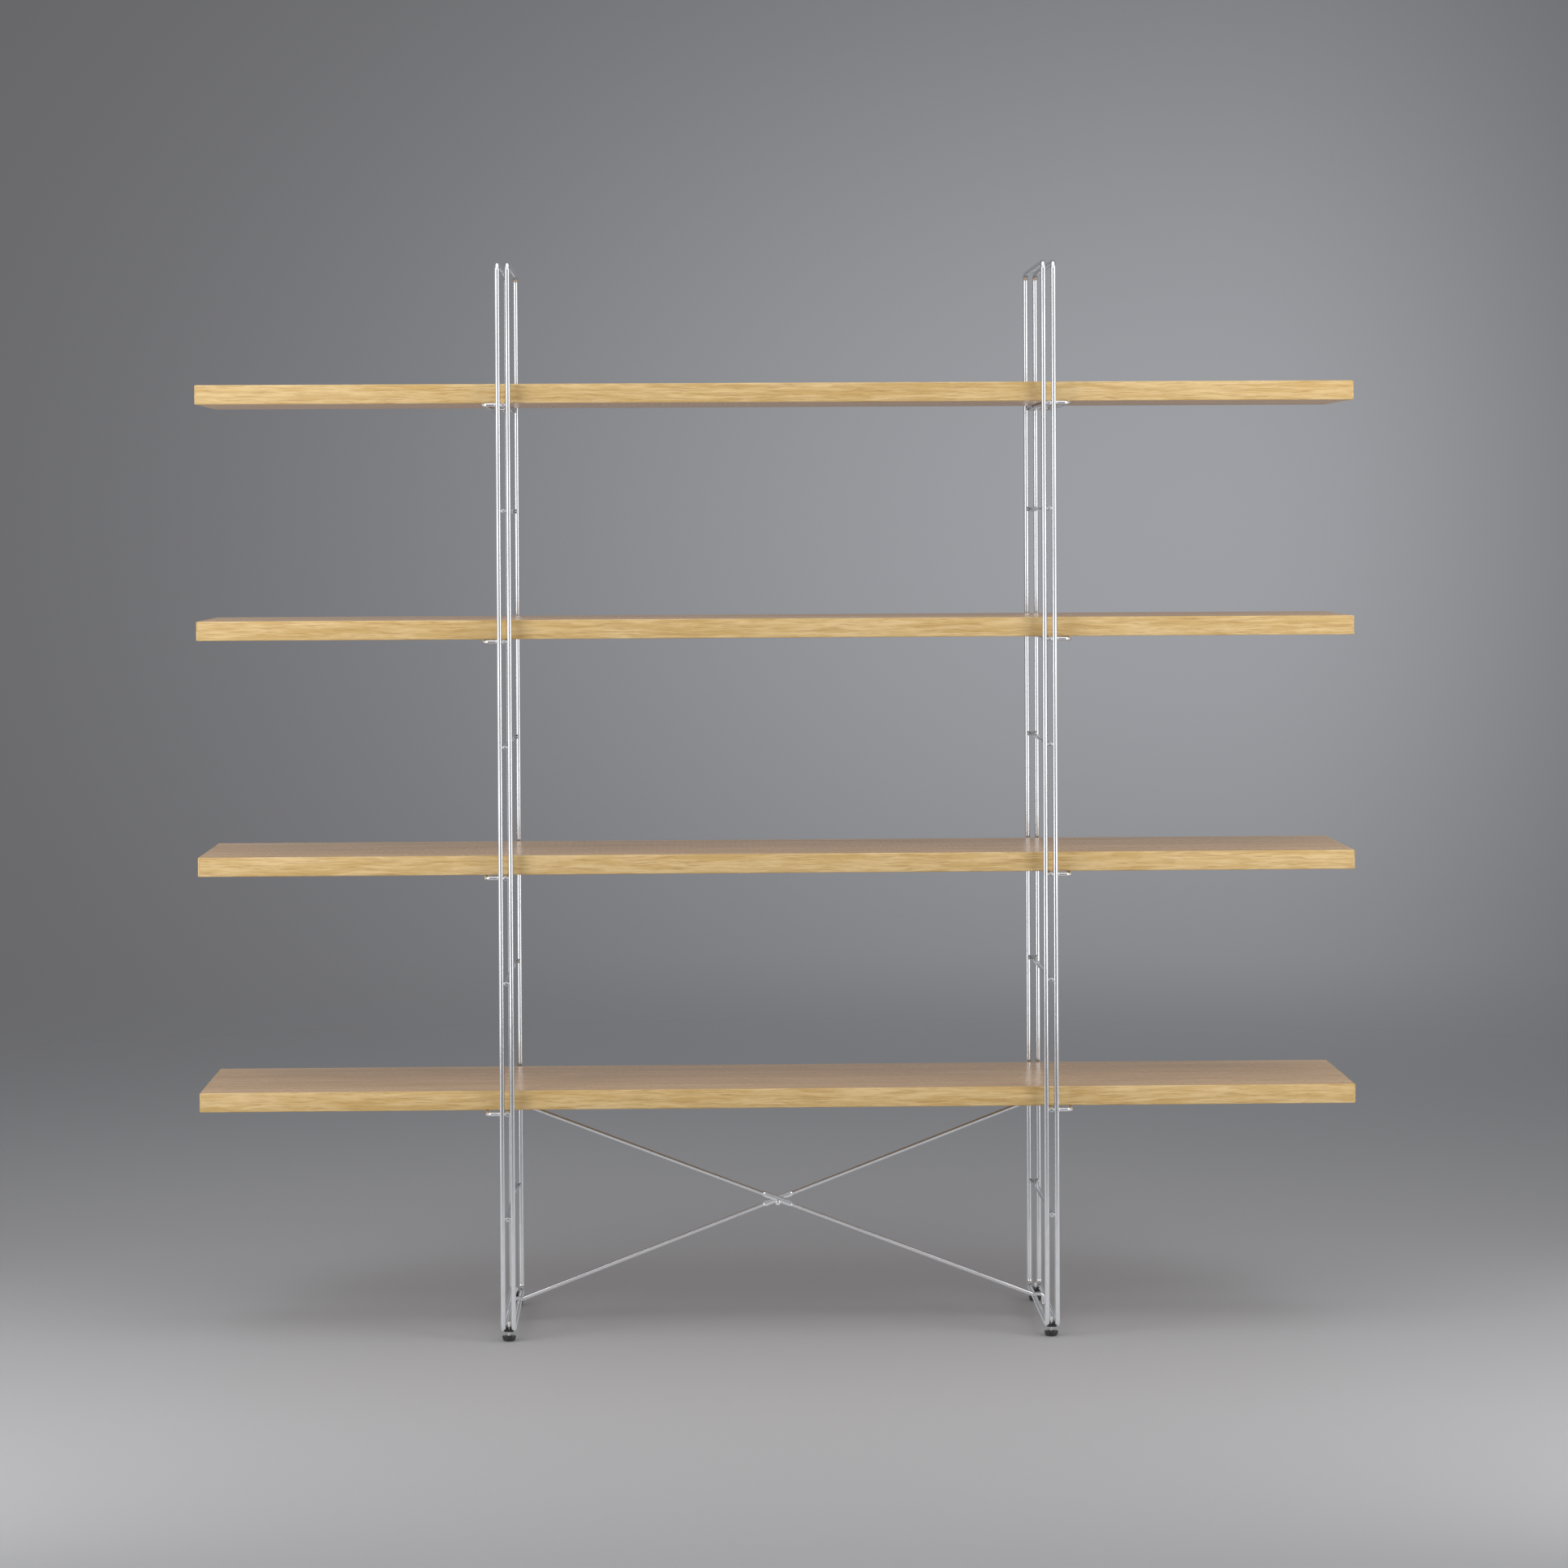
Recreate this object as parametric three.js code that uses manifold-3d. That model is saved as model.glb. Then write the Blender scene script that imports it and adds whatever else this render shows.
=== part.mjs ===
// Open shelving unit: two ladder side frames bent from steel wire, four long boards that lie
// through them, a riveted cross brace and four levelling feet. Millimetres, +Z up, front at -Y.
// The origin is on the floor, in the middle of the unit.

import * as THREE from 'three';
import { mergeVertices } from 'three/addons/utils/BufferGeometryUtils.js';
import Module from 'manifold-3d';

const wasm = await Module();
wasm.setup();

// Driving dimensions: the boards
const shelfCount = 4;
const shelfLength = 1800;
const shelfDepth = 300;
const shelfThickness = 30;
const edgeBandThickness = 2;
const edgeBandRound = 1.6;
const lowestShelfAboveLoop = 343;
const shelfPitch = 366;

// Driving dimensions: the side frames
const frameSpacing = 845;
const wireDiameter = 8;
const wireBendRadius = 12;
const rungDiameter = 7;
const spareRungBelowShelfRung = 163.5;
const rungEndSetBack = 1;
const topRailAboveTopShelf = 188.5;
const legToShelfGap = 17;

// Driving dimensions: the hoops that carry the overhanging ends of the boards
const hoopDiameter = 6;
const hoopReach = 34.5;
const hoopBendRadius = 8;

// Driving dimensions: the cross brace
const hookSideClearance = 0.8;
const hookBendRadius = 5;
const lowerHookTipLength = 16;
const upperHookTipLength = 9;
const hookRunIn = 17;
const hookEndPastTurn = 1.5;
const braceFlatLength = 42;
const braceFlatTaper = 5;
const braceFlatWiden = 1.5;
const braceFlatThin = 0.5;
const rivetDiameter = 4;
const rivetHeadDiameter = 8.4;
const rivetHeadHeight = 2;
const rivetRimHeight = 0.5;

// Driving dimensions: the levelling feet
const padDiameter = 22;
const padHeight = 8.5;
const padEdgeChamfer = 2.8;
const padTopBevel = 0.8;
const padCollarDiameter = 12;
const padCollarHeight = 0.4;
const padToLoopGap = 8;
const socketDepth = 5;
const insertWidth = 14;
const insertLength = 18;
const insertHeight = 8;
const insertBelowLoop = 1.5;
const insertWall = 0.5;
const insertWebHeight = 3.2;
const studAboveInsert = 7;
const studDomeHeight = 1.6;

// Clearance between pieces that are welded, rest on each other or move past each other
const gap = 0.3;

// How far a cutter reaches past the piece it cuts, both ends together
const cutterOverrun = 2;

// How far out an arc is at its middle, as a share of its radius
const arcMiddle = Math.SQRT1_2;

// How close two points of a path, or two corners of a solid, are when they are the same one
const samePoint = 1e-6;
const sameCorner = 1e-4;

// How finely round pieces are divided
const wireSides = 16;
const thinSides = 12;
const bendSteps = 6;
const arrisSteps = 3;
const turnedSides = 24;

// Colours and finishes
const brightWire = new THREE.MeshStandardMaterial({ color: 0xd6d9dc, roughness: 0.22, metalness: 1 });
const zincSteel = new THREE.MeshStandardMaterial({ color: 0xbfc2c3, roughness: 0.35, metalness: 1 });
const blackPlastic = new THREE.MeshStandardMaterial({ color: 0x141414, roughness: 0.45, metalness: 0 });
const oakFoil = new THREE.MeshStandardMaterial({ color: 0xbf9a72, roughness: 0.45, metalness: 0 });
const oakEdge = new THREE.MeshStandardMaterial({ color: 0xc9a66f, roughness: 0.5, metalness: 0 });

// Levels, worked out upwards from the floor
const wireRadius = wireDiameter / 2;
const rungRadius = rungDiameter / 2;
const loopBottom = padHeight + padToLoopGap;
const bottomRailLevel = loopBottom + wireRadius;
const shelfUnderside = (index) => loopBottom + lowestShelfAboveLoop + index * shelfPitch;
const shelfRungLevel = (index) => shelfUnderside(index) - gap - rungRadius;
const spareRungLevel = (index) => shelfRungLevel(index) - spareRungBelowShelfRung;
const topRailLevel = shelfUnderside(shelfCount - 1) + shelfThickness + topRailAboveTopShelf - wireRadius;

// Places across the depth and the length
const legPlane = shelfDepth / 2 + legToShelfGap + wireRadius;
const loopGap = rungDiameter + 2 * gap;
const loopOffset = (loopGap + wireDiameter) / 2;
const frameCentre = frameSpacing / 2;
const footInset = legPlane - wireBendRadius - insertLength / 2;
const studRadius = loopGap / 2 - 2 * gap - insertWall;
const insertTop = loopBottom - insertBelowLoop + insertHeight;

// The brace rods, and how far each is pressed flat where they cross
const braceRadius = loopGap / 2 - hookSideClearance;
const braceFlatHalfThickness = braceRadius * braceFlatThin;
const bracePlane = braceFlatHalfThickness + gap / 2;
const sides = { left: -1, right: 1 };

const unit = new THREE.Group();

/** Adds one named piece to the unit. */
function addPiece(name, geometry, material) {
  const mesh = new THREE.Mesh(geometry, material);
  mesh.name = name;
  unit.add(mesh);
  return mesh;
}

/** A flat path of straight runs with rounded corners, as a list of points. Corners are [u, v]. */
function bentPath(corners, bendRadius, closed) {
  const path = new THREE.Path();
  const at = (index) => new THREE.Vector2(...corners[(index + corners.length) % corners.length]);
  corners.forEach((corner, index) => {
    const here = at(index);
    const isEnd = !closed && (index === 0 || index === corners.length - 1);
    if (isEnd) {
      if (index === 0) path.moveTo(here.x, here.y);
      else path.lineTo(here.x, here.y);
      return;
    }
    const back = at(index - 1).sub(here).normalize();
    const on = at(index + 1).sub(here).normalize();
    const halfAngle = Math.acos(THREE.MathUtils.clamp(back.dot(on), -1, 1)) / 2;
    const setBack = bendRadius / Math.tan(halfAngle);
    const centre = here.clone().addScaledVector(
      back.clone().add(on).normalize(), bendRadius / Math.sin(halfAngle));
    const start = here.clone().addScaledVector(back, setBack).sub(centre);
    const end = here.clone().addScaledVector(on, setBack).sub(centre);
    const clockwise = start.cross(end) < 0;
    if (closed && index === 0) path.moveTo(centre.x + start.x, centre.y + start.y);
    path.absarc(centre.x, centre.y, bendRadius, start.angle(), end.angle(), clockwise);
  });
  const points = path.getPoints(bendSteps / 2);
  const apart = (a, b) => a.distanceTo(b) > samePoint;
  const clean = points.filter((point, index) => index === 0 || apart(point, points[index - 1]));
  if (closed && !apart(clean[0], clean[clean.length - 1])) clean.pop();
  return clean;
}

/** A regular section for a round wire or rod. */
function roundSection(radius, sideCount) {
  return Array.from({ length: sideCount }, (_, side) => {
    const angle = (2 * Math.PI * side) / sideCount;
    return new THREE.Vector2(radius * Math.cos(angle), radius * Math.sin(angle));
  });
}

/**
 * Sweeps a section along a flat path and mitres it at every corner, so straight runs keep their true
 * section. section.x lies in the path's plane, section.y across it. stretch(index) may widen and
 * flatten the section there. place(u, v, w) turns path coordinates into the unit's own.
 */
function sweep(path, section, closed, place, stretch = () => [1, 1]) {
  const count = path.length;
  const positions = [];
  const triangles = [];
  path.forEach((point, index) => {
    const before = closed || index > 0 ? path[(index - 1 + count) % count] : null;
    const after = closed || index < count - 1 ? path[(index + 1) % count] : null;
    const inward = before ? point.clone().sub(before).normalize() : after.clone().sub(point).normalize();
    const outward = after ? after.clone().sub(point).normalize() : inward;
    const normalIn = new THREE.Vector2(-inward.y, inward.x);
    const normalOut = new THREE.Vector2(-outward.y, outward.x);
    const mitre = normalIn.clone().add(normalOut).divideScalar(1 + normalIn.dot(normalOut));
    const [wide, flat] = stretch(index);
    section.forEach((corner) => {
      const edge = point.clone().addScaledVector(mitre, corner.x * wide);
      positions.push(...place(edge.x, edge.y, corner.y * flat));
    });
  });
  const ring = section.length;
  const spans = closed ? count : count - 1;
  for (let span = 0; span < spans; span += 1) {
    const near = span * ring;
    const far = ((span + 1) % count) * ring;
    for (let side = 0; side < ring; side += 1) {
      const next = (side + 1) % ring;
      triangles.push(near + side, far + side, far + next);
      triangles.push(near + side, far + next, near + next);
    }
  }
  if (!closed) {
    const last = (count - 1) * ring;
    for (let side = 1; side < ring - 1; side += 1) {
      triangles.push(0, side, side + 1);
      triangles.push(last, last + side + 1, last + side);
    }
  }
  const geometry = new THREE.BufferGeometry();
  geometry.setAttribute('position', new THREE.Float32BufferAttribute(positions, 3));
  geometry.setIndex(triangles);
  return facingOut(geometry);
}

/** Turns a closed geometry's faces outward if its volume comes out negative. */
function facingOut(geometry) {
  const position = geometry.getAttribute('position');
  const index = geometry.getIndex();
  const corner = (at) => new THREE.Vector3().fromBufferAttribute(position, index.getX(at));
  let volume = 0;
  for (let face = 0; face < index.count; face += 3) {
    volume += corner(face).dot(corner(face + 1).cross(corner(face + 2)));
  }
  if (volume < 0) {
    for (let face = 0; face < index.count; face += 3) {
      const second = index.getX(face + 1);
      index.setX(face + 1, index.getX(face + 2));
      index.setX(face + 2, second);
    }
  }
  return geometry;
}

/** A solid for joining and cutting, from a closed geometry. */
function toSolid(geometry) {
  const merged = mergedIndexed(geometry);
  return new wasm.Manifold(new wasm.Mesh({
    numProp: 3,
    vertProperties: new Float32Array(merged.getAttribute('position').array),
    triVerts: new Uint32Array(merged.getIndex().array),
  }));
}

/** A geometry from a solid. */
function toGeometry(solid) {
  const mesh = solid.getMesh();
  const geometry = new THREE.BufferGeometry();
  geometry.setAttribute('position', new THREE.Float32BufferAttribute(mesh.vertProperties, 3));
  geometry.setIndex(Array.from(mesh.triVerts));
  return geometry;
}

/** A round bar between two points of one line along an axis. */
function barAlong(axis, radius, length, centre, sideCount) {
  const bar = new THREE.CylinderGeometry(radius, radius, length, sideCount);
  if (axis === 'y') bar.rotateY(Math.PI / sideCount);
  if (axis === 'z') bar.rotateX(Math.PI / 2);
  bar.translate(...centre);
  return bar;
}

/** A turned piece standing on the Z axis, from its half outline of [radius, height] points. */
function turned(outline, sideCount) {
  const points = outline.map(([radius, height]) => new THREE.Vector2(radius, height));
  const lathe = new THREE.LatheGeometry(points, sideCount);
  lathe.rotateX(Math.PI / 2);
  return facingOut(mergedIndexed(lathe));
}

/** The same geometry with shared corners and no other attributes. */
function mergedIndexed(geometry) {
  const bare = geometry.clone();
  bare.deleteAttribute('normal');
  bare.deleteAttribute('uv');
  const merged = mergeVertices(bare, sameCorner);
  const index = merged.getIndex();
  const kept = [];
  for (let face = 0; face < index.count; face += 3) {
    const [a, b, c] = [index.getX(face), index.getX(face + 1), index.getX(face + 2)];
    if (a !== b && b !== c && c !== a) kept.push(a, b, c);
  }
  merged.setIndex(kept);
  return merged;
}

/** One closed wire loop of a side frame: front leg, top rail, back leg and bottom rail. */
function wireLoop(x) {
  const corners = [
    [-legPlane, bottomRailLevel],
    [-legPlane, topRailLevel],
    [legPlane, topRailLevel],
    [legPlane, bottomRailLevel],
  ];
  const path = bentPath(corners, wireBendRadius, true);
  return sweep(path, roundSection(wireRadius, wireSides), true, (u, v, w) => [x + w, u, v]);
}

/** One rung, welded between the two loops of a side frame. */
function rung(x, level) {
  const length = 2 * (legPlane + wireRadius - rungEndSetBack);
  return barAlong('y', rungRadius, length, [x, 0, level], thinSides);
}

/** The wire hoop on the outer side of a side frame, level with the rung under a board. */
function shelfHoop(side, level) {
  const start = side * (frameCentre + loopOffset + wireRadius + gap);
  const out = side * (frameCentre + hoopReach - hoopDiameter / 2);
  const corners = [[start, -legPlane], [out, -legPlane], [out, legPlane], [start, legPlane]];
  const path = bentPath(corners, hoopBendRadius, false);
  return sweep(path, roundSection(hoopDiameter / 2, thinSides), false, (u, v, w) => [u, v, level + w]);
}

/** The core of one board, without its edge band. */
function shelfBoard(underside) {
  const board = new THREE.BoxGeometry(
    shelfLength - 2 * edgeBandThickness, shelfDepth - 2 * edgeBandThickness, shelfThickness);
  board.translate(0, 0, underside + shelfThickness / 2);
  return board;
}

/** The edge band that goes round one board, with its long arrises rounded. */
function shelfEdgeBand(underside) {
  const inner = [shelfLength / 2 - edgeBandThickness, shelfDepth / 2 - edgeBandThickness];
  const path = [[-1, -1], [1, -1], [1, 1], [-1, 1]].map(
    ([u, v]) => new THREE.Vector2(u * inner[0], v * inner[1]));
  const half = shelfThickness / 2;
  const lowerArris = Array.from({ length: arrisSteps + 1 }, (_, step) => {
    const turn = (Math.PI / 2) * (step / arrisSteps);
    const inset = edgeBandRound * (1 - Math.sin(turn));
    return [inset - edgeBandThickness, edgeBandRound * (1 - Math.cos(turn)) - half];
  });
  const upperArris = lowerArris.map(([out, level]) => [out, -level]).reverse();
  const section = [[0, -half], ...lowerArris, ...upperArris, [0, half]]
    .map(([out, level]) => new THREE.Vector2(out, level));
  return sweep(path, section, true, (u, v, w) => [u, v, underside + half + w]);
}

/**
 * One rod of the cross brace. It falls towards side: its lower end hooks down over the inner
 * bottom rail there, and its upper end hooks up round the rung under the lowest board at the
 * other side. Where the rods cross, each is pressed flat and drilled for the rivet. The rod is one
 * wire, given as three solids: its straight run and the hooked end on each side of it.
 */
function braceRod(side, plane) {
  const radius = braceRadius;
  const lowLevel = bottomRailLevel + wireRadius + gap + radius;
  const highLevel = shelfRungLevel(0) - rungRadius - gap - radius;
  const lowHook = side * frameCentre;
  const highHook = -side * (frameCentre + rungRadius + gap + radius);
  const lowTurn = side * (frameCentre - hookRunIn);
  const highTurn = -side * (frameCentre - hookRunIn);
  const path = bentPath([
    [lowHook, lowLevel - lowerHookTipLength],
    [lowHook, lowLevel],
    [lowTurn, lowLevel],
    [highTurn, highLevel],
    [highHook, highLevel],
    [highHook, highLevel + upperHookTipLength],
  ], hookBendRadius, false);
  const cross = new THREE.Vector2(0, (lowLevel + highLevel) / 2);
  const along = new THREE.Vector2(highTurn - lowTurn, highLevel - lowLevel).normalize();
  const halfFlat = braceFlatLength / 2;
  const stations = [-halfFlat - braceFlatTaper, -halfFlat, halfFlat, halfFlat + braceFlatTaper];
  const flatPoints = stations.map((distance) => cross.clone().addScaledVector(along, distance));
  const middle = path.findIndex((point) => point.clone().sub(cross).dot(along) > 0);
  path.splice(middle, 0, ...flatPoints);
  const isFlat = (index) => index === middle + 1 || index === middle + 2;
  const stretch = (index) => (isFlat(index) ? [braceFlatWiden, braceFlatThin] : [1, 1]);
  const rod = sweep(path, roundSection(radius, thinSides), false, (u, v, w) => [u, plane + w, v], stretch);
  const hole = barAlong('y', rivetDiameter / 2 + gap, 4 * radius, [0, plane, cross.y], thinSides);
  const drilled = toSolid(rod).subtract(toSolid(hole));
  const reach = cross.distanceTo(new THREE.Vector2(lowTurn, lowLevel)) - hookEndPastTurn;
  const upFrom = (distance) => [[along.x, 0, along.y], cross.dot(along) + distance];
  const downFrom = (distance) => [[-along.x, 0, -along.y], -cross.dot(along) - distance];
  return {
    run: drilled.trimByPlane(...upFrom(-reach + gap / 2)).trimByPlane(...downFrom(reach - gap / 2)),
    lowerHook: drilled.trimByPlane(...downFrom(-reach - gap / 2)),
    upperHook: drilled.trimByPlane(...upFrom(reach + gap / 2)),
  };
}

/** The rivet that joins the two brace rods, with a low domed head at each end. */
function braceRivet(level) {
  const half = 2 * braceFlatHalfThickness + gap / 2 + gap;
  const shank = rivetDiameter / 2;
  const head = rivetHeadDiameter / 2;
  const rim = half + rivetRimHeight;
  const shoulder = rim + (rivetHeadHeight - rivetRimHeight) * arcMiddle;
  const upper = [
    [shank, half],
    [head, half],
    [head, rim],
    [head * arcMiddle, shoulder],
    [0, half + rivetHeadHeight],
  ];
  const lower = upper.map(([out, height]) => [out, -height]).reverse();
  const rivet = turned([...lower, ...upper], turnedSides);
  rivet.rotateX(Math.PI / 2);
  rivet.translate(0, 0, level);
  return rivet;
}

/** The moulded insert: a web that guides a foot's stud, and two lips that grip the bottom rails. */
function footInsert(x, y) {
  const middle = insertTop - insertHeight / 2;
  const block = new THREE.BoxGeometry(insertWidth, insertLength, insertHeight);
  block.translate(x, y, middle);
  let solid = toSolid(block);
  for (const side of [-1, 1]) {
    const centre = [x + side * loopOffset, y, bottomRailLevel];
    const rail = barAlong('y', wireRadius + gap, insertLength + cutterOverrun, centre, 2 * wireSides);
    solid = solid.subtract(toSolid(rail));
  }
  const boreRadius = studRadius + gap;
  const bore = barAlong('z', boreRadius, insertHeight + cutterOverrun, [x, y, middle], turnedSides);
  const channel = new THREE.BoxGeometry(2 * boreRadius, insertLength + cutterOverrun, insertHeight);
  channel.translate(x, y, middle + insertWebHeight);
  return toGeometry(solid.subtract(toSolid(bore)).subtract(toSolid(channel)));
}

/** A foot's steel stud, standing in the pad's socket and ending in a low dome. */
function footStud(x, y) {
  const bottom = padHeight - socketDepth + gap;
  const top = insertTop + studAboveInsert;
  const stud = turned([
    [0, bottom],
    [studRadius, bottom],
    [studRadius, top - studDomeHeight],
    [studRadius * arcMiddle, top - studDomeHeight * (1 - arcMiddle)],
    [0, top],
  ], turnedSides / 2);
  stud.translate(x, y, 0);
  return stud;
}

/** A foot's moulded pad, with a socket for the stud. */
function footPad(x, y) {
  const radius = padDiameter / 2;
  const socket = studRadius + gap;
  const edgeMiddle = padEdgeChamfer * (1 - arcMiddle);
  const collar = padCollarDiameter / 2;
  const pad = turned([
    [0, 0],
    [radius - padEdgeChamfer, 0],
    [radius - edgeMiddle, edgeMiddle],
    [radius, padEdgeChamfer],
    [radius, padHeight - 2 * padTopBevel],
    [radius - padTopBevel, padHeight - padTopBevel],
    [collar, padHeight - padCollarHeight],
    [collar - padCollarHeight, padHeight],
    [socket, padHeight],
    [socket, padHeight - socketDepth],
    [0, padHeight - socketDepth],
  ], turnedSides);
  pad.translate(x, y, 0);
  return pad;
}

for (const [name, side] of Object.entries(sides)) {
  const x = side * frameCentre;
  addPiece(`${name}_outer_loop`, wireLoop(x + side * loopOffset), brightWire);
  addPiece(`${name}_inner_loop`, wireLoop(x - side * loopOffset), brightWire);
  for (let index = 0; index < shelfCount; index += 1) {
    addPiece(`${name}_rung_${2 * index + 1}`, rung(x, spareRungLevel(index)), brightWire);
    addPiece(`${name}_rung_${2 * index + 2}`, rung(x, shelfRungLevel(index)), brightWire);
    const hoopLevel = shelfUnderside(index) - gap - hoopDiameter / 2;
    addPiece(`${name}_hoop_${index + 1}`, shelfHoop(side, hoopLevel), brightWire);
  }
  for (const [end, y] of [['front', -footInset], ['back', footInset]]) {
    addPiece(`${end}_${name}_foot_insert`, footInsert(x, y), blackPlastic);
    addPiece(`${end}_${name}_foot_stud`, footStud(x, y), zincSteel);
    addPiece(`${end}_${name}_foot_pad`, footPad(x, y), blackPlastic);
  }
}

for (let index = 0; index < shelfCount; index += 1) {
  addPiece(`shelf_${index + 1}_board`, shelfBoard(shelfUnderside(index)), oakFoil);
  addPiece(`shelf_${index + 1}_edge_band`, shelfEdgeBand(shelfUnderside(index)), oakEdge);
}

const braceCrossLevel = (bottomRailLevel + wireRadius + shelfRungLevel(0) - rungRadius) / 2;
for (const [place, side, plane] of [['front', 1, -bracePlane], ['back', -1, bracePlane]]) {
  const rod = braceRod(side, plane);
  addPiece(`brace_${place}_rod`, toGeometry(rod.run), brightWire);
  addPiece(`brace_${place}_lower_hook`, toGeometry(rod.lowerHook), brightWire);
  addPiece(`brace_${place}_upper_hook`, toGeometry(rod.upperHook), brightWire);
}
addPiece('brace_rivet', braceRivet(braceCrossLevel), zincSteel);

export default unit;
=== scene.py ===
"""Open shelving unit: finished pieces, materials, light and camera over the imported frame."""

import math

import bmesh
import bpy
from mathutils import Matrix, Vector


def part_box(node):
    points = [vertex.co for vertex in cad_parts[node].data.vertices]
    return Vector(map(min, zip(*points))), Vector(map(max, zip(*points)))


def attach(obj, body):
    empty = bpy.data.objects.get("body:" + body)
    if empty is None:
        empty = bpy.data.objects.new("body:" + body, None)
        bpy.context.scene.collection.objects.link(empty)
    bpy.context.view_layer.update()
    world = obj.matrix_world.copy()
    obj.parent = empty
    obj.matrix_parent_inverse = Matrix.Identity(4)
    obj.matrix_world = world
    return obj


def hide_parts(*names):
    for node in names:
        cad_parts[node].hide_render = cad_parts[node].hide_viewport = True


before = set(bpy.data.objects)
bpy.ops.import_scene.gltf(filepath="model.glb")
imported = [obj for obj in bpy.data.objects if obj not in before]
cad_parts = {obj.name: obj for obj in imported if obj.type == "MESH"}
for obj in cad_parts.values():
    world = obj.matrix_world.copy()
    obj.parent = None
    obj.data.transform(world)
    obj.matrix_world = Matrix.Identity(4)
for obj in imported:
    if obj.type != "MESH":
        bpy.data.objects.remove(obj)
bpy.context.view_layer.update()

MM = 0.001
SIDES = {"left": -1, "right": 1}
SHELVES = (1, 2, 3, 4)
RUNGS = range(1, 9)
FOOT_CORNERS = [(end, side) for end in ("front", "back") for side in SIDES]

# Wires
WIRE_SIDES = 32
BEND_STEPS = 10
WIRE_RADIUS = 4.0 * MM
RUNG_RADIUS = 3.5 * MM
HOOP_RADIUS = 3.0 * MM
BRACE_RADIUS = 3.0 * MM
WIRE_BEND_RADIUS = 12 * MM
HOOP_BEND_RADIUS = 8 * MM
CUT_END_ROUND = 0.9 * MM
TOUCH_GAP = 0.3 * MM
QUARTER_TURN = [math.radians(degrees) for degrees in (0, 22.5, 45, 67.5, 90)]

# Welds
NUGGET_RADIUS = 2.9 * MM
NUGGET_HALF_THICKNESS = 1.0 * MM
NUGGET_SIDES = 16
COLLAR_SPREAD = 0.5 * MM
COLLAR_LENGTH = 1.0 * MM
COLLAR_ROOT = 2.0 * MM
COLLAR_STEPS = 5
COLLAR_SIDES = 24
WELD_CREASE = 80

# Brace
HOOK_BEND_RADIUS = 5 * MM
LOWER_HOOK_TIP_LENGTH = 16 * MM
UPPER_HOOK_TIP_LENGTH = 9 * MM
HOOK_RUN_IN = 17 * MM
BRACE_FLAT_LENGTH = 42 * MM
BRACE_FLAT_TAPER = 5 * MM
BRACE_TAPER_STEPS = 8
BRACE_FLAT_WIDEN = 1.5
BRACE_FLAT_THIN = 0.5
RIVET_SHANK_RADIUS = 2.0 * MM
RIVET_HEAD_HEIGHT = 2.0 * MM

# Boards
EDGE_BAND_THICKNESS = 2.0 * MM
EDGE_BAND_ROUND = 1.7 * MM
BAND_INNER_ARRIS = 0.1 * MM
BAND_CORNER_STEPS = 6
BAND_JOINT_WIDTH = 0.3 * MM
BAND_JOINT_DEPTH = 0.2 * MM
VENEER_ARRIS = 0.12 * MM

# Feet
THREAD_PITCH = 1.0 * MM
THREAD_RADIUS = 2.95 * MM
THREAD_DEPTH = 0.55 * MM
THREAD_SIDES = 24
THREAD_RINGS_PER_TURN = 8
FLANK_RISE = 2.6
ROOT_FLAT = 0.3
STUD_NOSE_LENGTH = 3.0 * MM
STUD_NOSE_CUT = 0.15 * MM
STUD_BORE_RADIUS = 3.0 * MM
PAD_BORE_CHAMFER = 0.2 * MM
PAD_BORE_FLOOR_SHARE = 0.45
INSERT_WEB_HEIGHT = 3.2 * MM
INSERT_EDGE_CHAMFER = 0.35 * MM
INSERT_RIM_ROUND = 0.3 * MM
INSERT_CHANNEL_SLACK = 0.05 * MM
INSERT_HUG_STEPS = 10
DRILL_REACH = 12 * MM


# Packed sizes

def span(node):
    """Lowest corner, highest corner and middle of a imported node."""
    low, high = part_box(node)
    return low, high, (low + high) / 2


FRAME_CENTRE = span("right_rung_1")[2].x


# Meshes

def make_piece(name, points, faces, run=None, crease=35):
    """A piece from points and faces, smooth but for edges sharper than crease degrees.

    run gives each point's place along, across and through the piece, for its material."""
    mesh = bpy.data.meshes.new(name)
    mesh.from_pydata([tuple(p) for p in points], [], faces)
    shape = bmesh.new()
    shape.from_mesh(mesh)
    bmesh.ops.recalc_face_normals(shape, faces=shape.faces)
    shape.to_mesh(mesh)
    shape.free()
    mesh.polygons.foreach_set("use_smooth", [True] * len(mesh.polygons))
    mesh.set_sharp_from_angle(angle=math.radians(crease))
    if run is not None:
        stored = mesh.attributes.new("run", "FLOAT_VECTOR", "POINT")
        stored.data.foreach_set("vector", [value for place in run for value in place])
    piece = bpy.data.objects.new(name, mesh)
    bpy.context.scene.collection.objects.link(piece)
    return piece


def from_shape(name, shape, crease):
    """A piece from an edited shape, which is then freed."""
    shape.verts.index_update()
    points = [vertex.co.copy() for vertex in shape.verts]
    faces = [tuple(vertex.index for vertex in face.verts) for face in shape.faces]
    shape.free()
    return make_piece(name, points, faces, crease=crease)


def fit(piece, body, slot, material, *nodes):
    """Gives a piece its finish, seats it on a body and lets it stand for its nodes."""
    piece.data.materials.append(material)
    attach(piece, body)
    if nodes:
        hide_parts(*nodes)
    return piece


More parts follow.
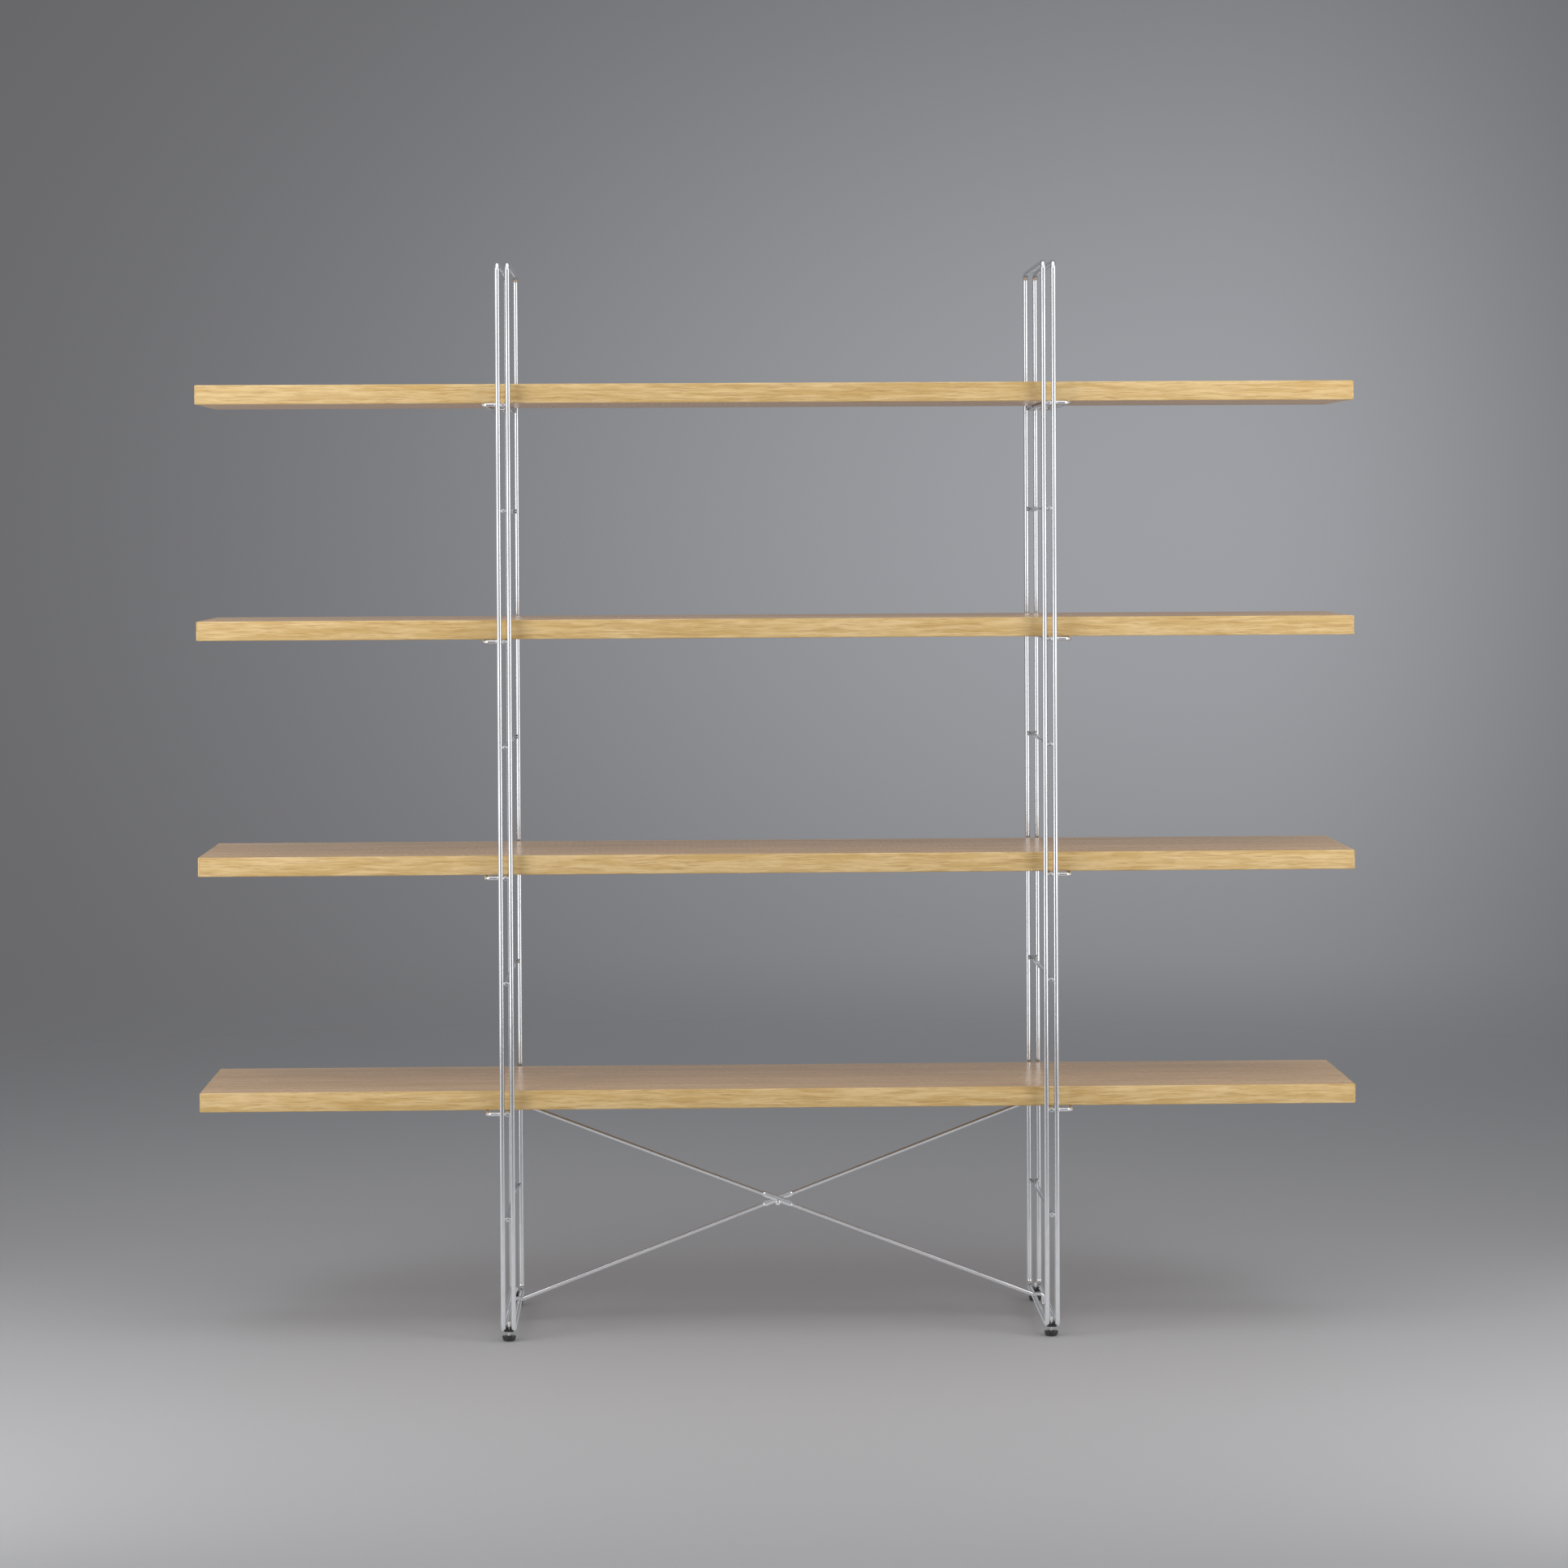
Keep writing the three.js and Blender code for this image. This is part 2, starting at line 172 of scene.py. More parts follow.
def rounded_path(corners, radius, closed=False):
    """Straight runs between corners, with each corner turned on one radius."""
    points = []
    count = len(corners)
    for index in range(count):
        here = Vector(corners[index])
        if not closed and index in (0, count - 1):
            points.append(here)
            continue
        back = (Vector(corners[index - 1]) - here).normalized()
        on = (Vector(corners[(index + 1) % count]) - here).normalized()
        half = math.acos(max(-1.0, min(1.0, back.dot(on)))) / 2
        centre = here + (back + on).normalized() * (radius / math.sin(half))
        start = here + back * (radius / math.tan(half)) - centre
        end = here + on * (radius / math.tan(half)) - centre
        first = math.atan2(start.y, start.x)
        turn = math.atan2(start.x * end.y - start.y * end.x, start.dot(end))
        for step in range(BEND_STEPS + 1):
            angle = first + turn * step / BEND_STEPS
            points.append(centre + Vector((math.cos(angle), math.sin(angle))) * radius)
    return points


def ring_faces(rings, sides, closed):
    """The quads between rings of points, with a cap on each end of an open run."""
    faces = []
    for ring in range(rings if closed else rings - 1):
        near, far = ring * sides, ((ring + 1) % rings) * sides
        for side in range(sides):
            on = (side + 1) % sides
            faces.append((near + side, near + on, far + on, far + side))
    if not closed:
        faces.append(tuple(range(sides)))
        faces.append(tuple((rings - 1) * sides + side for side in range(sides)))
    return faces


def sweep(name, path, place, radius, closed=False, stretch=None):
    """A round wire along a flat path. place(u, v, w) turns path coordinates into the unit's own.

    stretch(index) gives how much wider and thicker the wire is at a point than its radius."""
    points, run = [], []
    count = len(path)
    length = 0.0
    for index, point in enumerate(path):
        before = path[index - 1] if closed or index else None
        after = path[(index + 1) % count] if closed or index < count - 1 else None
        into = (point - before if before is not None else after - point).normalized()
        out = (after - point).normalized() if after is not None else into
        across_in, across_out = Vector((-into.y, into.x)), Vector((-out.y, out.x))
        mitre = (across_in + across_out) / (1 + across_in.dot(across_out))
        if index:
            length += (point - path[index - 1]).length
        wide, thick = stretch(index) if stretch else (1.0, 1.0)
        for side in range(WIRE_SIDES):
            angle = 2 * math.pi * side / WIRE_SIDES
            spread, lift = radius * math.cos(angle), radius * math.sin(angle)
            edge = point + mitre * spread * wide
            points.append(place(edge.x, edge.y, lift * thick))
            run.append((length, spread, lift))
    return make_piece(name, points, ring_faces(count, WIRE_SIDES, closed), run)


def cut_ends(path, radius):
    """Adds the stations of a rounded edge at both cut ends, and gives the matching stretch."""
    first, last = (path[1] - path[0]).normalized(), (path[-2] - path[-1]).normalized()
    inset = [CUT_END_ROUND * (1 - math.cos(turn)) for turn in QUARTER_TURN]
    widths = [1 - CUT_END_ROUND / radius * (1 - math.sin(turn)) for turn in QUARTER_TURN]
    lead = [path[0] + first * depth for depth in inset]
    trail = [path[-1] + last * depth for depth in reversed(inset)]
    longer = [*lead, *path[1:-1], *trail]

    def stretch(index):
        near_end = min(index, len(longer) - 1 - index)
        wide = widths[near_end] if near_end < len(widths) else 1.0
        return wide, wide

    return longer, stretch


def turned(name, outline, centre, axis="z", sides=48, crease=35):
    """A turned piece from half its outline, as (radius, height) points from axis to axis."""
    points, faces = [], []
    tips = (0, len(outline) - 1)
    starts = []
    for index, (radius, height) in enumerate(outline):
        starts.append(len(points))
        for side in range(1 if index in tips else sides):
            angle = 2 * math.pi * side / sides
            x, y = radius * math.cos(angle), radius * math.sin(angle)
            points.append({"z": (x, y, height), "x": (height, x, y), "y": (x, height, y)}[axis])
    for index in range(len(outline) - 1):
        near, far = starts[index], starts[index + 1]
        for side in range(sides):
            on = (side + 1) % sides
            if index == 0:
                faces.append((near, far + side, far + on))
            elif index + 1 == len(outline) - 1:
                faces.append((near + side, near + on, far))
            else:
                faces.append((near + side, near + on, far + on, far + side))
    moved = [Vector(point) + Vector(centre) for point in points]
    return make_piece(name, moved, faces, crease=crease)


def join(name, parts):
    """One piece from several, each kept as its own closed shell."""
    points, faces = [], []
    for part in parts:
        start = len(points)
        mesh = part.data
        points.extend(vertex.co.copy() for vertex in mesh.vertices)
        faces.extend(tuple(start + corner for corner in face.vertices) for face in mesh.polygons)
        bpy.data.objects.remove(part)
        bpy.data.meshes.remove(mesh)
    return make_piece(name, points, faces)


# Shader building

def add(tree, kind, feeds=None, **settings):
    """Adds a node. feeds maps its sockets to values or to the sockets that feed them."""
    made = tree.nodes.new(kind)
    for name, value in settings.items():
        setattr(made, name, value)
    for name, value in (feeds or {}).items():
        if isinstance(value, bpy.types.NodeSocket):
            tree.links.new(value, made.inputs[name])
        else:
            made.inputs[name].default_value = value
    return made


def new_effect(name, inputs, outputs):
    """A shader node group with named sockets, its input node and a call that feeds its outputs."""
    group = bpy.data.node_groups.new(name, "ShaderNodeTree")
    for label, kind, value in inputs:
        socket = group.interface.new_socket(label, in_out="INPUT", socket_type=kind)
        if value is not None:
            socket.default_value = value
    for label, kind in outputs:
        group.interface.new_socket(label, in_out="OUTPUT", socket_type=kind)
    given = group.nodes.new("NodeGroupInput")
    result = group.nodes.new("NodeGroupOutput")

    def close(**feeds):
        for label, source in feeds.items():
            group.links.new(source, result.inputs[label])

    return group, given, close


def use_effect(tree, group, feeds):
    """Places an effect in a material with that material's own values."""
    return add(tree, "ShaderNodeGroup", feeds, node_tree=group)


def scaled(tree, vector, size):
    """A vector divided by a size on each axis, so that one unit is one feature."""
    return add(tree, "ShaderNodeVectorMath", {0: vector, 1: tuple(1 / s for s in size)},
               operation="MULTIPLY").outputs[0]


def noise(tree, vector, detail=2.0, roughness=0.5):
    """Smooth noise from 0 to 1, whose features are about one unit of the vector across."""
    feeds = {"Vector": vector, "Scale": 1.0, "Detail": detail, "Roughness": roughness}
    return add(tree, "ShaderNodeTexNoise", feeds).outputs["Fac"]


def ranged(tree, value, low, high, to_low=0.0, to_high=1.0, smooth=False):
    """A value's span from low to high, spread over to_low to to_high."""
    return add(tree, "ShaderNodeMapRange", {"Value": value, "From Min": low, "From Max": high,
               "To Min": to_low, "To Max": to_high},
               interpolation_type="SMOOTHSTEP" if smooth else "LINEAR").outputs["Result"]


def calculate(tree, operation, first, second=0.0):
    return add(tree, "ShaderNodeMath", {0: first, 1: second}, operation=operation).outputs[0]


def between(tree, share, first, second):
    """A value between two, by share, never past either."""
    feeds = {0: share, 2: first, 3: second}
    return add(tree, "ShaderNodeMix", feeds, clamp_factor=True).outputs[0]


def blended(tree, share, first, second):
    """A colour between two, by share."""
    feeds = {0: share, 6: first, 7: second}
    return add(tree, "ShaderNodeMix", feeds, data_type="RGBA").outputs[2]


def parted(tree, vector):
    """A vector's X, Y and Z."""
    return add(tree, "ShaderNodeSeparateXYZ", {0: vector}).outputs


# Effects

# Sizes along, across and through a piece, in metres
OAK_PORE = (0.009, 0.00045, 0.00045)
DIE_LINE = (0.12, 0.00035, 0.00035)
PLATING_CLOUD = (0.02, 0.006, 0.006)
PLATING_SPECK = (0.0012, 0.0009, 0.0009)
SPARK_GRAIN = (0.0004, 0.0004, 0.0004)
SCUFF = (0.006, 0.006, 0.006)

# Sizes in grain lengths along the oak's grain and in band widths across it
OAK_BAND = (1.3, 1.6, 1.6)
OAK_BROAD_TONE = (6.0, 9.0, 9.0)
OAK_STREAK = (0.75, 0.42, 0.42)

OAK_DRIFTS_PER_GRAIN = 0.8
OAK_DRIFT_WIDTH = 30 * MM
OAK_BAND_HEIGHT = 0.25
PORE_DULLNESS = 0.18
CLOUD_DULLNESS = 0.6
DIE_LINE_DULLNESS = 0.12
SPECK_DEPTH = 0.5
MOST_DUST = 0.35


def oak_figure():
    """Bands, fine dark streaks and open pores of straight-grained oak.

    Place is in metres, x along the grain."""
    group, given, close = new_effect(
        "oak_figure",
        [("Place", "NodeSocketVector", None), ("Pale", "NodeSocketColor", None),
         ("Golden", "NodeSocketColor", None), ("Streak", "NodeSocketColor", None),
         ("Band Width", "NodeSocketFloat", 0.004), ("Grain Length", "NodeSocketFloat", 0.08),
         ("Waver", "NodeSocketFloat", 0.002), ("Streak Strength", "NodeSocketFloat", 0.5),
         ("Pore Strength", "NodeSocketFloat", 0.4)],
        [("Color", "NodeSocketColor"), ("Pores", "NodeSocketFloat"), ("Height", "NodeSocketFloat")])
    place, band_width = given.outputs["Place"], given.outputs["Band Width"]
    apart = parted(group, place)
    along = calculate(group, "DIVIDE", apart["X"], given.outputs["Grain Length"])
    drift = noise(group, add(group, "ShaderNodeCombineXYZ", {
        "X": calculate(group, "MULTIPLY", along, OAK_DRIFTS_PER_GRAIN),
        "Y": calculate(group, "DIVIDE", apart["Y"], OAK_DRIFT_WIDTH),
        "Z": calculate(group, "DIVIDE", apart["Z"], OAK_DRIFT_WIDTH)}).outputs[0])
    lift = calculate(group, "MULTIPLY", ranged(group, drift, 0.25, 0.75, -1.0, 1.0),
                     given.outputs["Waver"])
    across = calculate(group, "DIVIDE", calculate(group, "ADD", apart["Y"], lift), band_width)
    deep = calculate(group, "DIVIDE", apart["Z"], band_width)
    grain = add(group, "ShaderNodeCombineXYZ", {"X": along, "Y": across, "Z": deep}).outputs[0]
    bands = noise(group, scaled(group, grain, OAK_BAND), detail=3.0, roughness=0.6)
    figure = ranged(group, bands, 0.32, 0.68, smooth=True)
    broad = noise(group, scaled(group, grain, OAK_BROAD_TONE))
    tone = calculate(group, "ADD", figure, ranged(group, broad, 0.3, 0.7, -0.3, 0.3))
    wood = blended(group, tone, given.outputs["Golden"], given.outputs["Pale"])
    fine = noise(group, scaled(group, grain, OAK_STREAK), roughness=0.55)
    streaked = calculate(group, "MULTIPLY", ranged(group, fine, 0.53, 0.66, smooth=True),
                         given.outputs["Streak Strength"])
    pitted = noise(group, scaled(group, place, OAK_PORE), detail=1.0)
    crowded = ranged(group, bands, 0.6, 0.4, 0.3, 1.0)
    pores = calculate(group, "MULTIPLY", ranged(group, pitted, 0.58, 0.68, smooth=True), crowded)
    pored = calculate(group, "MULTIPLY", pores, given.outputs["Pore Strength"])
    shown = calculate(group, "MAXIMUM", streaked, pored)
    raised = calculate(group, "MULTIPLY", figure, OAK_BAND_HEIGHT)
    close(Color=blended(group, shown, wood, given.outputs["Streak"]), Pores=pores,
          Height=calculate(group, "SUBTRACT", raised, pores))
    return group


def drawn_metal():
    """Die lines along a drawn wire, and faint clouding of its plating.

    Place is in metres, x along the wire."""
    group, given, close = new_effect(
        "drawn_metal",
        [("Place", "NodeSocketVector", None), ("Metal", "NodeSocketColor", None),
         ("Clouded", "NodeSocketColor", None), ("Smooth", "NodeSocketFloat", 0.15),
         ("Dull", "NodeSocketFloat", 0.3)],
        [("Color", "NodeSocketColor"), ("Roughness", "NodeSocketFloat"),
         ("Height", "NodeSocketFloat")])
    place = given.outputs["Place"]
    lines = noise(group, scaled(group, place, DIE_LINE))
    clouds = noise(group, scaled(group, place, PLATING_CLOUD), detail=4.0, roughness=0.6)
    cloud = ranged(group, clouds, 0.42, 0.7, smooth=True)
    specks = noise(group, scaled(group, place, PLATING_SPECK), detail=1.0)
    speck = ranged(group, specks, 0.7, 0.76, smooth=True)
    clouded = calculate(group, "MULTIPLY", cloud, CLOUD_DULLNESS)
    marked = calculate(group, "MAXIMUM", clouded, speck)
    streaked = ranged(group, lines, 0.35, 0.65, -DIE_LINE_DULLNESS, DIE_LINE_DULLNESS)
    dullness = calculate(group, "ADD", marked, streaked)
    pitted = calculate(group, "MULTIPLY", speck, SPECK_DEPTH)
    close(Color=blended(group, marked, given.outputs["Metal"], given.outputs["Clouded"]),
          Roughness=between(group, dullness, given.outputs["Smooth"], given.outputs["Dull"]),
          Height=calculate(group, "SUBTRACT", lines, pitted))
    return group


def moulded_grain():
    """The fine spark-eroded grain of a moulding, with scuffs and a little dust on what faces up."""
    group, given, close = new_effect(
        "moulded_grain",
        [("Place", "NodeSocketVector", None), ("Plastic", "NodeSocketColor", None),
         ("Dust", "NodeSocketColor", None), ("Gloss", "NodeSocketFloat", 0.25),
         ("Scuffed", "NodeSocketFloat", 0.5)],
        [("Color", "NodeSocketColor"), ("Roughness", "NodeSocketFloat"),
         ("Height", "NodeSocketFloat")])
    place = given.outputs["Place"]
    grain = noise(group, scaled(group, place, SPARK_GRAIN))
    patches = noise(group, scaled(group, place, SCUFF), detail=3.0)
    facing = parted(group, add(group, "ShaderNodeNewGeometry").outputs["Normal"])["Z"]
    dusty = calculate(group, "MULTIPLY", ranged(group, facing, 0.3, 1.0, 0.0, MOST_DUST),
                      ranged(group, patches, 0.35, 0.65))
    worn = calculate(group, "MAXIMUM", ranged(group, patches, 0.5, 0.72, smooth=True), dusty)
    close(Color=blended(group, dusty, given.outputs["Plastic"], given.outputs["Dust"]),
          Roughness=between(group, worn, given.outputs["Gloss"], given.outputs["Scuffed"]),
          Height=grain)
    return group


# Materials

def new_material(name):
    """A material with an empty tree but for its surface shader and output."""
    material = bpy.data.materials.new(name)
    material.use_nodes = True
    tree = material.node_tree
    tree.nodes.clear()
    shader = tree.nodes.new("ShaderNodeBsdfPrincipled")
    output = tree.nodes.new("ShaderNodeOutputMaterial")
    tree.links.new(shader.outputs["BSDF"], output.inputs["Surface"])
    return material, tree, shader


def along_the_piece(tree):
    """Metres along a bent or banded piece, as stored on its points."""
    return add(tree, "ShaderNodeAttribute", attribute_name="run").outputs["Vector"]


def in_the_unit(tree):
    """Metres in the unit's own frame."""
    return add(tree, "ShaderNodeTexCoord").outputs["Object"]


def raise_bumps(tree, shader, height, distance, strength):
    bump = add(tree, "ShaderNodeBump",
               {"Height": height, "Distance": distance, "Strength": strength})
    tree.links.new(bump.outputs["Normal"], shader.inputs["Normal"])


def oak_material(name, place, gloss, coat, **grain):
    """Oak finish. grain gives the values of the oak figure, by socket name."""
    material, tree, shader = new_material(name)
    feeds = {label.replace("_", " ").title(): value for label, value in grain.items()}
    figure = use_effect(tree, OAK_FIGURE, {"Place": place(tree), **feeds})
    tree.links.new(figure.outputs["Color"], shader.inputs["Base Color"])
    tree.links.new(ranged(tree, figure.outputs["Pores"], 0.0, 1.0, gloss, gloss + PORE_DULLNESS),
                   shader.inputs["Roughness"])
    shader.inputs["Specular IOR Level"].default_value = 0.4
    shader.inputs["Coat Weight"].default_value = coat
    shader.inputs["Coat Roughness"].default_value = 0.22
    raise_bumps(tree, shader, figure.outputs["Height"], distance=0.12 * MM, strength=0.35)
    return material


def one_effect_material(name, effect, place, feeds, metallic, distance, strength):
    """A material whose colour, roughness and bumps all come from one effect."""
    material, tree, shader = new_material(name)
    finish = use_effect(tree, effect, {"Place": place(tree), **feeds})
    tree.links.new(finish.outputs["Color"], shader.inputs["Base Color"])
    tree.links.new(finish.outputs["Roughness"], shader.inputs["Roughness"])
    shader.inputs["Metallic"].default_value = metallic
    raise_bumps(tree, shader, finish.outputs["Height"], distance, strength)
    return material


def metal_material(name, place, metal, clouded, smooth, dull):
    feeds = {"Metal": metal, "Clouded": clouded, "Smooth": smooth, "Dull": dull}
    return one_effect_material(name, DRAWN_METAL, place, feeds, metallic=1.0,
                               distance=0.02 * MM, strength=0.05)


def plastic_material(name, place, plastic, dust, gloss, scuffed):
    feeds = {"Plastic": plastic, "Dust": dust, "Gloss": gloss, "Scuffed": scuffed}
    return one_effect_material(name, MOULDED_GRAIN, place, feeds, metallic=0.0,
                               distance=0.03 * MM, strength=0.3)


OAK_FIGURE = oak_figure()
DRAWN_METAL = drawn_metal()
MOULDED_GRAIN = moulded_grain()

oak_face = oak_material(
    "oak_face", in_the_unit, gloss=0.27, coat=0.15, pale=(0.70, 0.465, 0.25, 1),
    golden=(0.57, 0.36, 0.17, 1), streak=(0.36, 0.20, 0.085, 1), band_width=0.007,
    grain_length=0.22, waver=0.006, streak_strength=0.35, pore_strength=0.3)
oak_edging = oak_material(
    "oak_edging", along_the_piece, gloss=0.46, coat=0.0, pale=(0.73, 0.53, 0.26, 1),
    golden=(0.59, 0.39, 0.145, 1), streak=(0.40, 0.22, 0.075, 1), band_width=0.0032,
    grain_length=0.05, waver=0.0016, streak_strength=0.55, pore_strength=0.3)
bright_wire = metal_material(
    "bright_wire", along_the_piece, metal=(0.70, 0.71, 0.73, 1), clouded=(0.63, 0.64, 0.66, 1),
    smooth=0.15, dull=0.23)
weld_metal = metal_material(
    "weld_metal", in_the_unit, metal=(0.74, 0.75, 0.77, 1), clouded=(0.55, 0.56, 0.58, 1),
    smooth=0.28, dull=0.5)
zinc_steel = metal_material(
    "zinc_steel", in_the_unit, metal=(0.82, 0.82, 0.81, 1), clouded=(0.66, 0.66, 0.65, 1),
    smooth=0.20, dull=0.38)
black_plastic = plastic_material(
    "black_plastic", in_the_unit, plastic=(0.012, 0.012, 0.013, 1), dust=(0.16, 0.155, 0.15, 1),
    gloss=0.2, scuffed=0.42)


# Side frames

def fit_loop(node):
    """A closed ring of wire, upright from front to back, with four rounded corners."""
    low, high, middle = span(node)
    radius = (high.x - low.x) / 2
    front, back = low.y + radius, high.y - radius
    bottom, top = low.z + radius, high.z - radius
    corners = [(front, bottom), (front, top), (back, top), (back, bottom)]
    loop = sweep(node + "_wire", rounded_path(corners, WIRE_BEND_RADIUS, closed=True),
                 lambda u, v, w: (middle.x + w, u, v), radius, closed=True)
    fit(loop, "frame", "bright_wire", bright_wire, node)


def fit_rung(node):
    """A straight bar from front to back between the two loops."""
    low, high, middle = span(node)
    ends = [Vector((low.y, middle.z)), Vector((high.y, middle.z))]
    path, stretch = cut_ends(ends, RUNG_RADIUS)
    bar = sweep(node + "_wire", path, lambda u, v, w: (middle.x + w, u, v), RUNG_RADIUS,
                stretch=stretch)
    fit(bar, "frame", "bright_wire", bright_wire, node)


def fit_hoop(node, side):
    """A hoop lies flat and reaches outwards, with one end at each leg of the outer loop."""
    low, high, middle = span(node)
    radius = HOOP_RADIUS
    start, out = (low.x, high.x - radius) if side > 0 else (high.x, low.x + radius)
    front, back = low.y + radius, high.y - radius
    corners = [(start, front), (out, front), (out, back), (start, back)]
    hoop = sweep(node + "_wire", rounded_path(corners, HOOP_BEND_RADIUS),
                 lambda u, v, w: (u, v, middle.z + w), radius)
    fit(hoop, "frame", "bright_wire", bright_wire, node)


def weld_nugget(name, centre):
    """The small lens of metal squeezed out where two crossed wires are welded."""
    rise = [(NUGGET_RADIUS * math.cos(a), NUGGET_HALF_THICKNESS * math.sin(a))
            for a in [math.radians(d) for d in (-60, -30, 0, 30, 60)]]
    outline = [(0, -NUGGET_HALF_THICKNESS), *rise, (0, NUGGET_HALF_THICKNESS)]
    return turned(name, outline, centre, axis="x", sides=NUGGET_SIDES, crease=WELD_CREASE)


def weld_collar(name, centre, side):
    """The fillet round a hoop's end, rooted in the leg that it is welded to."""
    foot = HOOP_RADIUS + COLLAR_SPREAD
    turns = [math.pi / 2 * step / COLLAR_STEPS for step in range(COLLAR_STEPS + 1)]
    fillet = [(HOOP_RADIUS + COLLAR_SPREAD * (1 - math.sin(turn)),
               COLLAR_LENGTH * (1 - math.cos(turn))) for turn in turns]
    outline = [(0, -COLLAR_ROOT), (foot, -COLLAR_ROOT), *fillet, (0, COLLAR_LENGTH)]
    return turned(name, [(radius, height * side) for radius, height in outline], centre,
                  axis="x", sides=COLLAR_SIDES, crease=WELD_CREASE)


def fit_welds(name, side):
    """The beads where rungs cross the legs, and the fillets where hoops end at them."""
    outer_low, outer_high, outer = span(f"{name}_outer_loop")
    inner = span(f"{name}_inner_loop")[2]
    wire = (outer_high.x - outer_low.x) / 2
    leg = outer_high.y - wire
    beads = []
    for rung in RUNGS:
        level = span(f"{name}_rung_{rung}")[2]
        for loop in (outer, inner):
            facing = math.copysign(wire, level.x - loop.x)
            for end in (-leg, leg):
                beads.append(weld_nugget("nugget", (loop.x + facing, end, level.z)))
    for shelf in SHELVES:
        hoop_low, hoop_high, hoop = span(f"{name}_hoop_{shelf}")
        start = hoop_low.x if side > 0 else hoop_high.x
        for end in (-leg, leg):
            beads.append(weld_collar("collar", (start, end, hoop.z), side))
    fit(join(f"{name}_weld_beads", beads), "frame", "bright_wire", weld_metal)


for name, side in SIDES.items():
    fit_loop(f"{name}_outer_loop")
    fit_loop(f"{name}_inner_loop")
    for rung in RUNGS:
        fit_rung(f"{name}_rung_{rung}")
    for shelf in SHELVES:
        fit_hoop(f"{name}_hoop_{shelf}", side)
    fit_welds(name, side)


# Cross brace

def with_flat_stations(path, cross, along, half):
    """Puts the points of the pressed flat and its tapers into a rod's path, on its straight run."""
    ease = [step / BRACE_TAPER_STEPS for step in range(BRACE_TAPER_STEPS + 1)]
    stations = [-half - BRACE_FLAT_TAPER * (1 - e) for e in ease]
    stations += [half + BRACE_FLAT_TAPER * e for e in ease]
    before = [point for point in path if (point - cross).dot(along) < 0]
    after = [point for point in path if (point - cross).dot(along) > 0]
    return before + [cross + along * distance for distance in stations] + after


def fit_brace_rod(name, side):
    """One rod: hooked down at its lower end, up at its upper end, pressed flat at the middle."""
    low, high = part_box(name + "_lower_hook")[0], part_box(name + "_upper_hook")[1]
    radius = BRACE_RADIUS
    low_hook = side * FRAME_CENTRE
    high_hook = -side * (FRAME_CENTRE + RUNG_RADIUS + TOUCH_GAP + radius)
    low_level = low.z + LOWER_HOOK_TIP_LENGTH
    high_level = high.z - UPPER_HOOK_TIP_LENGTH
    low_turn = side * (FRAME_CENTRE - HOOK_RUN_IN)
    high_turn = -low_turn
    path = rounded_path([
        (low_hook, low.z), (low_hook, low_level), (low_turn, low_level),
        (high_turn, high_level), (high_hook, high_level), (high_hook, high.z),
    ], HOOK_BEND_RADIUS)
    cross = Vector((0, (low_level + high_level) / 2))
    along = Vector((high_turn - low_turn, high_level - low_level)).normalized()
    half = BRACE_FLAT_LENGTH / 2
    path, ends = cut_ends(with_flat_stations(path, cross, along, half), radius)

    def stretch(index):
        away = abs((path[index] - cross).dot(along))
        press = 1 - max(0.0, min(1.0, (away - half) / BRACE_FLAT_TAPER))
        press = press * press * (3 - 2 * press)
        wide, thick = ends(index)
        return (wide * (1 + (BRACE_FLAT_WIDEN - 1) * press),
                thick * (1 + (BRACE_FLAT_THIN - 1) * press))

    plane = span(name + "_rod")[2].y
    rod = sweep(name + "_wire", path, lambda u, v, w: (u, plane + w, v), radius, stretch=stretch)
    nodes = [name + part for part in ("_rod", "_lower_hook", "_upper_hook")]
    fit(rod, "frame", "bright_wire", bright_wire, *nodes)


# From the rods up, as shares of the head's radius and height
RIVET_HEAD = [(0.94, 0), (1.0, 0.12)]
RIVET_HEAD += [(math.cos(math.radians(d)), 0.25 + 0.75 * math.sin(math.radians(d)))
               for d in (0, 15, 30, 45, 60, 75)]
RIVET_HEAD += [(0, 1.0)]


def fit_rivet(node):
    """A rivet with a low domed head on each side of the crossed rods."""
    low, high, middle = span(node)
    head = (high.x - low.x) / 2
    seat = (high.y - low.y) / 2 - RIVET_HEAD_HEIGHT
    upper = [(RIVET_SHANK_RADIUS, seat)]
    upper += [(r * head, seat + h * RIVET_HEAD_HEIGHT) for r, h in RIVET_HEAD]
    outline = [(radius, -height) for radius, height in reversed(upper)] + upper
    rivet = turned(node + "_turned", outline, middle, axis="y")
    fit(rivet, "frame", "zinc_steel", zinc_steel, node)


fit_brace_rod("brace_front", 1)
fit_brace_rod("brace_back", -1)
fit_rivet("brace_rivet")


# Boards

def fit_board(node, body):
    """The board's core, with its two veneered faces and a hairline arris."""
    low, high, middle = span(node)
    shape = bmesh.new()
    bmesh.ops.create_cube(shape, size=1.0, matrix=Matrix.Translation(middle) @ Matrix.Diagonal(
        (*(high - low), 1.0)))
    bmesh.ops.bevel(shape, geom=shape.edges[:], offset=VENEER_ARRIS, segments=2, affect="EDGES")
    fit(from_shape(node + "_veneered", shape, crease=50), body, "oak_board", oak_face, node)


